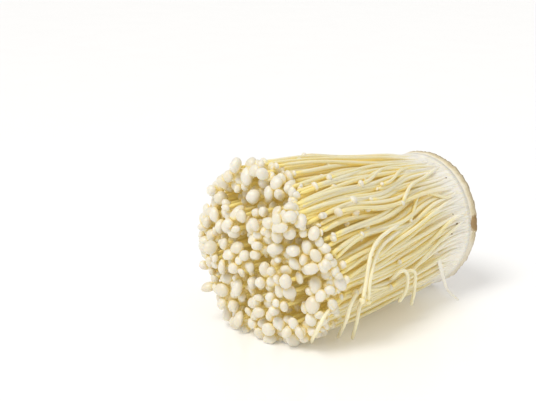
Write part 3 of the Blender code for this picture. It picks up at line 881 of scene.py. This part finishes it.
class Finish:
    """A material built up node by node."""

    def __init__(self, name):
        self.material = bpy.data.materials.new(name)
        self.material.use_nodes = True
        self.tree = self.material.node_tree
        self.tree.nodes.clear()

    def node(self, kind, settings, sockets, output=0):
        """Any node: its settings first, then the values or links of its sockets."""
        node = self.tree.nodes.new(kind)
        for key, value in settings.items():
            setattr(node, key, value)
        for key, value in sockets.items():
            if isinstance(value, Shade):
                self.tree.links.new(value.socket, node.inputs[key])
            elif isinstance(value, tuple) and node.inputs[key].type == "RGBA":
                node.inputs[key].default_value = (*value, 1)
            else:
                node.inputs[key].default_value = value
        return Shade(self, node.outputs[output]) if node.outputs else None

    def value(self, name):
        """A value stored at the points of the mesh."""
        return self.node("ShaderNodeAttribute", {"attribute_name": name}, {}, "Fac")

    def place(self, scale=(1, 1, 1)):
        """Object coordinates in mm, stretched by a scale."""
        spot = self.node("ShaderNodeTexCoord", {}, {}, "Object")
        scale = tuple(1000 * s for s in scale)
        return self.node("ShaderNodeVectorMath", {"operation": "MULTIPLY"}, {0: spot, 1: scale})

    def speckle(self, place, scale, detail=2.0, roughness=0.5):
        """Soft noise, 0 to 1, on a place."""
        return self.node("ShaderNodeTexNoise", {}, {
            "Vector": place, "Scale": scale, "Detail": detail, "Roughness": roughness}, "Fac")

    def mix(self, factor, first, second):
        """One colour faded into another: its colours go in at 6 and 7 and come out at 2."""
        return self.node("ShaderNodeMix", {"data_type": "RGBA"}, {0: factor, 6: first, 7: second}, 2)

    def bump(self, height, distance):
        """A normal bent by a height; the distance is what a height of 1 stands for."""
        return self.node("ShaderNodeBump", {}, {
            "Strength": 1.0, "Distance": distance, "Height": height})

    def glow(self, amount):
        """Painted glow: golden emission where a point is hemmed in, standing in for light seeping
        through the flesh from behind.
        """
        return self.mix(amount, (0.0, 0.0, 0.0), GOLDEN_LIGHT)

    def finish(self, colour, roughness, normal, glow=None, **constants):
        """The surface itself, with the values that are the same all over set on its sockets."""
        sockets = {"Base Color": colour, "Roughness": roughness, "Normal": normal}
        if glow is not None:
            sockets["Emission Color"] = glow
        surface = self.node("ShaderNodeBsdfPrincipled", {}, {**sockets, **constants})
        self.node("ShaderNodeOutputMaterial", {}, {"Surface": surface})
        return self.material


# What is the same all over the stems and caps; the emission strength is that of their painted glow.
FLESH = {"Subsurface Weight": 0.4, "Subsurface Radius": (1.0, 0.85, 0.55),
         "Subsurface Scale": 1.4 * MM, "Specular IOR Level": 0.45, "Coat Weight": 0.32,
         "Coat Roughness": 0.22, "Emission Strength": 0.075}


def cap_finish():
    """Wet white caps, with painted golden shade and a painted glow where they press together, and
    painted shade under their rims.
    """
    paint = Finish("mushroom_cap")
    tone = paint.value("tone")
    occlusion = paint.value("occlusion")
    spots = paint.speckle(paint.place(), 0.55)
    # painted shade and glow: golden where the cap is hemmed in by its neighbours
    gap_shade_and_glow = (occlusion + (spots - 0.5) * 0.25).between(0.25, 0.85)
    # painted shade under each cap's rim: yellower toward its underside
    under = 1 - paint.value("way").between(-0.1, 0.7)
    open_colour = paint.mix(tone, (0.81, 0.75, 0.60), (0.86, 0.82, 0.71))
    open_colour = paint.mix(under * 0.6, open_colour, (0.88, 0.77, 0.47))
    colour = paint.mix(gap_shade_and_glow, open_colour, (0.90, 0.76, 0.40))
    fine = paint.speckle(paint.place(), 2.5, 3.0)
    roughness = fine * 0.10 + 0.26
    normal = paint.bump(fine, 0.12 * MM)
    return paint.finish(colour, roughness, normal, paint.glow(gap_shade_and_glow), **FLESH)


def stem_finish():
    """Cream stems with fine streaks along them and whiter at the root, with painted amber shade and a
    painted golden glow where they are hemmed in deep in the bunch, and a pale painted glow at the root.
    """
    paint = Finish("mushroom_stem")
    tone = paint.value("tone")
    way = paint.value("way")
    occlusion = paint.value("occlusion")
    streak = paint.speckle(paint.place((1, 0.05, 1)), 1.1, 3.0, 0.6)
    patch = paint.speckle(paint.place((1, 0.3, 1)), 0.12)
    pale = (tone * 0.55 + streak * 0.9 - 0.25 + (patch - 0.5) * 0.8).clamped()
    colour = paint.mix(pale, (0.94, 0.79, 0.38), (0.97, 0.90, 0.66))
    root = 1 - way.between(0.06, 0.40)
    colour = paint.mix(root * 0.9, colour, (0.93, 0.89, 0.79))
    # painted shade: amber where the stem is hemmed in by its neighbours, less so at the white root
    gap_shade_and_glow = (occlusion + (streak - 0.5) * 0.3).between(0.30, 0.90)
    colour = paint.mix(gap_shade_and_glow * (1 - root * 0.85), colour, (0.95, 0.78, 0.31))
    ridges = paint.speckle(paint.place((1, 0.03, 1)), 2.2, 2.0)
    roughness = streak * 0.15 + 0.30
    normal = paint.bump(ridges, 0.3 * MM)
    # painted glow: golden in the gaps, and a pale one that brightens the white root
    glow = paint.mix(root, paint.glow(gap_shade_and_glow), ROOT_LIGHT)
    return paint.finish(colour, roughness, normal, glow, **FLESH)


def core_finish():
    """Painted amber shade for what shows between the outer stems, darker where hemmed in, with a painted
    golden glow there; whiter near the cut, with a pale painted glow.
    """
    paint = Finish("deep_stems_painted_shade")
    spot = paint.node("ShaderNodeSeparateXYZ", {}, {0: paint.place()}, 1)
    occlusion = paint.value("occlusion")
    streak = paint.speckle(paint.place((1, 0.04, 1)), 0.8, 3.0, 0.6)
    root = spot.between(6.0, 44.0)
    # painted shade: the amber that the core shows in the gaps stands in for the shade deep in the bunch
    deep = paint.mix(streak, (0.89, 0.70, 0.24), (0.95, 0.81, 0.38))
    pale = paint.mix(streak.between(0.3, 0.7), (0.90, 0.84, 0.69), (0.93, 0.90, 0.81))
    colour = paint.mix((root - occlusion * 0.35).clamped(), deep, pale)
    normal = paint.bump(streak, 0.6 * MM)
    # painted glow: golden where hemmed in, and a pale one at the white root
    glow = paint.mix(root, paint.glow(occlusion.between(0.2, 0.9)), ROOT_LIGHT)
    return paint.finish(colour, 0.42, normal, glow, **FLESH)


def foot_finish():
    """Tan, dry and crumbly where the bunch was cut from what it grew on."""
    paint = Finish("cut_foot")
    way = paint.value("way")
    out = paint.value("out")
    dry = paint.value("dry")
    broad = paint.speckle(paint.place(), 0.10, 3.0)
    crumb = paint.speckle(paint.place(), 0.7, 4.0, 0.6)
    fine = paint.speckle(paint.place(), 2.4, 3.0)
    tan = paint.mix(crumb.between(0.35, 0.65), (0.66, 0.50, 0.29), (0.84, 0.72, 0.50))
    pale = paint.mix(fine, (0.92, 0.84, 0.66), (0.95, 0.90, 0.77))
    ring = (way + (crumb - 0.5) * 0.8 + (broad - 0.5) * 0.5).between(0.34, 0.52)
    rim = paint.mix(crumb.between(0.3, 0.7), (0.74, 0.60, 0.36), (0.90, 0.81, 0.56))
    side = paint.mix(ring * (dry * 1.4 + (broad - 0.5)).clamped(), pale, rim)
    face = paint.mix(broad.between(0.35, 0.7), (0.88, 0.80, 0.62), tan)
    pits = (1 - crumb).between(0.52, 0.72)
    face = paint.mix(pits * 0.75, face, (0.46, 0.31, 0.15))
    colour = paint.mix((out - 0.97) * 30, face, side)
    edge = (way + (crumb - 0.5) * 0.9).between(0.80, 1.05) * out.between(0.95, 1.0)
    colour = paint.mix(edge * (dry * 0.6 + 0.3), colour, (0.46, 0.33, 0.17))
    spot = paint.node("ShaderNodeVectorMath", {"operation": "DISTANCE"}, {
        0: paint.place(), 1: tuple(STAIN_PLACE / MM)}, "Value")
    stain = 1 - (spot + (crumb - 0.5) * 3).between(3.3, 4.4)
    colour = paint.mix(stain * 0.9, colour, (0.40, 0.24, 0.09))
    roughness = fine * 0.2 + 0.65
    normal = paint.bump(crumb * 0.7 + fine * 0.3, 0.9 * MM)
    return paint.finish(colour, roughness, normal, **{"Specular IOR Level": 0.3})


def crumb_finish():
    """Dark brown crumbs."""
    paint = Finish("crumb")
    fine = paint.speckle(paint.place(), 3.0, 3.0)
    colour = paint.mix(fine, (0.12, 0.07, 0.03), (0.30, 0.19, 0.09))
    return paint.finish(colour, fine * 0.1 + 0.7, paint.bump(fine, 0.2 * MM))


def floor_finish():
    """A white table top with a faint sheen."""
    paint = Finish("white_table")
    cloud = paint.speckle(paint.place(), 0.02)
    colour = paint.mix(cloud, (0.96, 0.96, 0.96), (0.97, 0.97, 0.97))
    return paint.finish(colour, cloud * 0.02 + 0.24, paint.bump(cloud, 0.1 * MM), **{
        "Specular IOR Level": 0.4, "Emission Color": (1.0, 1.0, 1.0), "Emission Strength": 0.11})


def dress(piece, material, node):
    """Give a piece its finish and its place in the frame, and hide the solid that it stands for."""
    piece.data.materials.clear()
    piece.data.materials.append(material)
    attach(piece, "root")
    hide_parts(node)


def smooth(piece, levels):
    """Shade smooth, with the corners of the rough shape rounded by subdivision."""
    select_only(piece)
    bpy.ops.object.shade_smooth()
    if levels:
        rounding = piece.modifiers.new("rounding", "SUBSURF")
        rounding.levels = levels
        rounding.render_levels = levels


# -------- the object
place = growth_place()
STAIN_PLACE = Vector((FOOT_RADIUS, CUT_Y - 1 * MM, 1.1 * FOOT_RADIUS)) + place
mushrooms = build_mushrooms(place)
strays = build_strays(place)
for number, layer in enumerate(LAYERS):
    mushrooms.update(build_layer(place, *layer, SEED + 3 + number))
core = build_core(place)
foot = build_foot(place)
store_occlusion([*mushrooms.values(), strays, core])

stem_material = stem_finish()
cap_material = cap_finish()
for name, piece in mushrooms.items():
    smooth(piece, 1)
    dress(piece, cap_material if name.endswith("caps") else stem_material,
          "mushrooms")
smooth(strays, 1)
dress(strays, stem_material, "mushrooms")
smooth(core, 0)
dress(core, core_finish(), "mushrooms")
smooth(foot, 0)
dress(foot, foot_finish(), "root_foot")
dress(build_crumbs(place), crumb_finish(), "mushrooms")

# -------- floor, light and camera
select_nothing()
bpy.ops.mesh.primitive_plane_add(size=12)
table = bpy.context.object
table.name = "table_top"
table.data.materials.append(floor_finish())

world = bpy.data.worlds.new("soft_room")
bpy.context.scene.world = world
world.use_nodes = True
sky = world.node_tree.nodes["Background"]
sky.inputs["Color"].default_value = (1.0, 0.99, 0.975, 1)
sky.inputs["Strength"].default_value = 0.655

CAMERA_PLACE = (430, -495, 216)          # from where the bunch's own origin is, mm
CAMERA_AZIMUTH, CAMERA_ELEVATION = 44, 14


def toward(azimuth, elevation):
    """A direction: azimuth from -Y toward +X and elevation, degrees."""
    a, e = math.radians(azimuth), math.radians(elevation)
    return Vector((math.sin(a) * math.cos(e), -math.cos(a) * math.cos(e), math.sin(e)))


def look_from(thing, direction):
    """Turn a lamp or a camera to look back from a direction."""
    thing.rotation_euler = (-direction).to_track_quat("-Z", "Y").to_euler()


def add_soft_sun(azimuth, elevation, spread, strength):
    """The key light, as soft as a large lamp, with its angles in degrees."""
    lamp = bpy.data.lights.new("key_light", "SUN")
    lamp.energy = strength
    lamp.angle = math.radians(spread)
    lamp.color = (1.0, 0.985, 0.96)
    thing = add_object("key_light", lamp)
    thing.location = toward(azimuth, elevation)
    look_from(thing, toward(azimuth, elevation))


add_soft_sun(azimuth=2, elevation=56, spread=26, strength=1.5)

view = bpy.data.cameras.new("view")
view.sensor_width = 36
view.lens = 96.85
view.clip_start = 0.01
camera = add_object("view", view)
camera.location = Vector(CAMERA_PLACE) * MM + place
look_from(camera, toward(CAMERA_AZIMUTH, CAMERA_ELEVATION))
bpy.context.scene.camera = camera
bpy.context.scene.view_settings.view_transform = "Standard"
